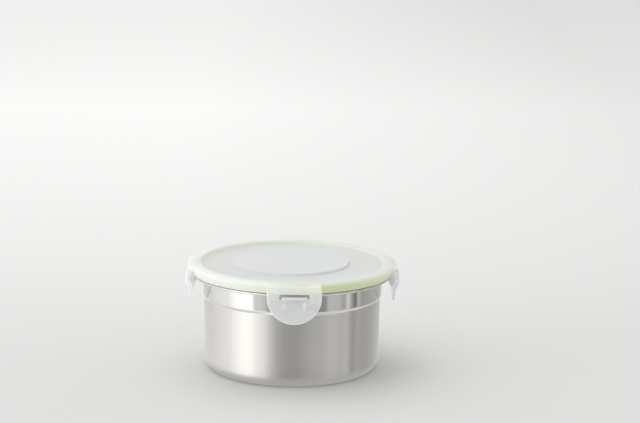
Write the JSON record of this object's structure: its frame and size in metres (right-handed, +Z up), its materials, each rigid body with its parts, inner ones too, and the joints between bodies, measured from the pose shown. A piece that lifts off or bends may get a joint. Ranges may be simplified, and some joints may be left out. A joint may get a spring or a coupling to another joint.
{
  "type": "food container",
  "caption": "Round drawn-steel food container with a frosted moulded lid, a soft seal and fold-down side latches that hook under the rolled rim.",
  "frame": {"origin": "centre of the base, on the plane that it stands on", "axes": "+Z is up through the lid; one latch faces -Y, and the others face +X, +Y and -X"},
  "size_m": [0.1462, 0.1462, 0.0747],
  "materials": {
    "stainless_steel": "satin wall with a polished upper band and rolled edge",
    "frosted_polypropylene": "translucent, frosted, smooth edges",
    "green_silicone": "matte"
  },
  "bodies": {
    "bowl": {"steel_bowl": "stainless_steel"},
    "lid": {"lid": "frosted_polypropylene", "gasket": "green_silicone", "front_hinge": "frosted_polypropylene", "right_hinge": "frosted_polypropylene", "back_hinge": "frosted_polypropylene", "left_hinge": "frosted_polypropylene"},
    "front_latch": {"front_latch": "frosted_polypropylene"},
    "right_latch": {"right_latch": "frosted_polypropylene"},
    "back_latch": {"back_latch": "frosted_polypropylene"},
    "left_latch": {"left_latch": "frosted_polypropylene"}
  },
  "joints": [
    {"name": "lid_lift", "type": "slide", "parent": "bowl", "child": "lid", "axis": [0, 0, 1], "range_m": [0, 0.09]},
    {"name": "front_latch_fold", "type": "hinge", "parent": "lid", "child": "front_latch", "pos_m": [0, -0.0714, 0.072], "axis": [-1, 0, 0], "range_deg": [0, 120], "deforming": ["front_hinge"]},
    {"name": "right_latch_fold", "type": "hinge", "parent": "lid", "child": "right_latch", "pos_m": [0.0714, 0, 0.072], "axis": [0, -1, 0], "range_deg": [0, 120], "deforming": ["right_hinge"]},
    {"name": "back_latch_fold", "type": "hinge", "parent": "lid", "child": "back_latch", "pos_m": [0, 0.0714, 0.072], "axis": [1, 0, 0], "range_deg": [0, 120], "deforming": ["back_hinge"]},
    {"name": "left_latch_fold", "type": "hinge", "parent": "lid", "child": "left_latch", "pos_m": [-0.0714, 0, 0.072], "axis": [0, 1, 0], "range_deg": [0, 120], "deforming": ["left_hinge"]}
  ]
}
